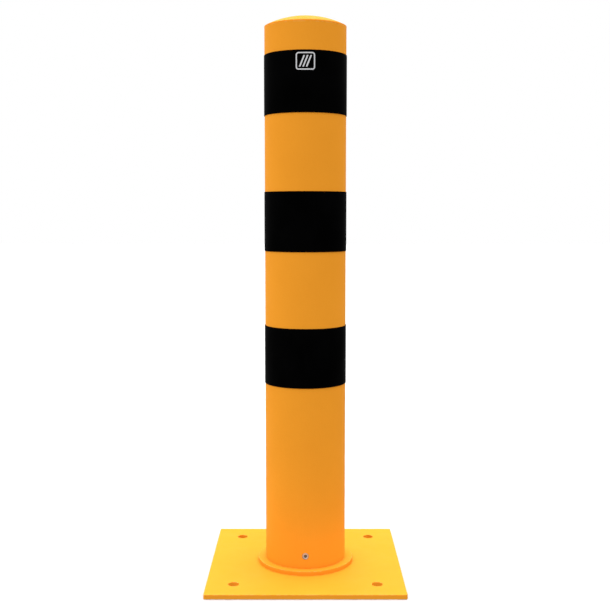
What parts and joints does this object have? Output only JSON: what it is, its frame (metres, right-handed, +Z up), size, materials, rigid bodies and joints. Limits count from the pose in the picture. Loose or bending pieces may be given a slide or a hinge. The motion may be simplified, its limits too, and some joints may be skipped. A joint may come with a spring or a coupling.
{
  "type": "safety bollard",
  "caption": "Slip-over steel bollard: round banded post with a domed cap, held by set screws on a spigot welded to a square foot plate.",
  "frame": {"origin": "centre of the foot plate's underside, on the ground and on the post's axis", "axes": "+Z up along the post, -Y towards the front, where the mark and one set screw are, +X to the right seen from the front"},
  "size_m": [0.36, 0.36, 1.037],
  "materials": {
    "yellow_coat": "traffic yellow powder coat, satin, fine orange peel",
    "black_film": "deep black film, matt",
    "grey_film": "light grey printed film, matt",
    "screw_steel": "zinc plated, slightly dulled",
    "bare_steel": "turned steel, oiled"
  },
  "bodies": {
    "base": {"base_plate": "yellow_coat", "base_ring": "yellow_coat", "spigot_tube": "yellow_coat", "spigot_weld": "yellow_coat"},
    "post": {"post_tube": "yellow_coat", "clamp_ring": "yellow_coat", "clamp_weld": "yellow_coat", "guide_ring": "bare_steel", "guide_weld": "bare_steel", "top_cap": "yellow_coat", "cap_weld": "yellow_coat", "band_bottom": "black_film", "band_middle": "black_film", "band_top": "black_film", "emblem_frame": "grey_film", "emblem_bars": "grey_film"},
    "screw_right": {"set_screw_right": "screw_steel"},
    "screw_rear": {"set_screw_rear": "screw_steel"},
    "screw_left": {"set_screw_left": "screw_steel"},
    "screw_front": {"set_screw_front": "screw_steel"}
  },
  "joints": [
    {"name": "post_lift", "type": "slide", "parent": "base", "child": "post", "axis": [0, 0, 1], "range_m": [0, 0.2]},
    {"name": "screw_right_out", "type": "slide", "parent": "post", "child": "screw_right", "axis": [1, 0, 0], "range_m": [0, 0.012]},
    {"name": "screw_rear_out", "type": "slide", "parent": "post", "child": "screw_rear", "axis": [0, 1, 0], "range_m": [0, 0.012]},
    {"name": "screw_left_out", "type": "slide", "parent": "post", "child": "screw_left", "axis": [-1, 0, 0], "range_m": [0, 0.012]},
    {"name": "screw_front_out", "type": "slide", "parent": "post", "child": "screw_front", "axis": [0, -1, 0], "range_m": [0, 0.012]}
  ]
}
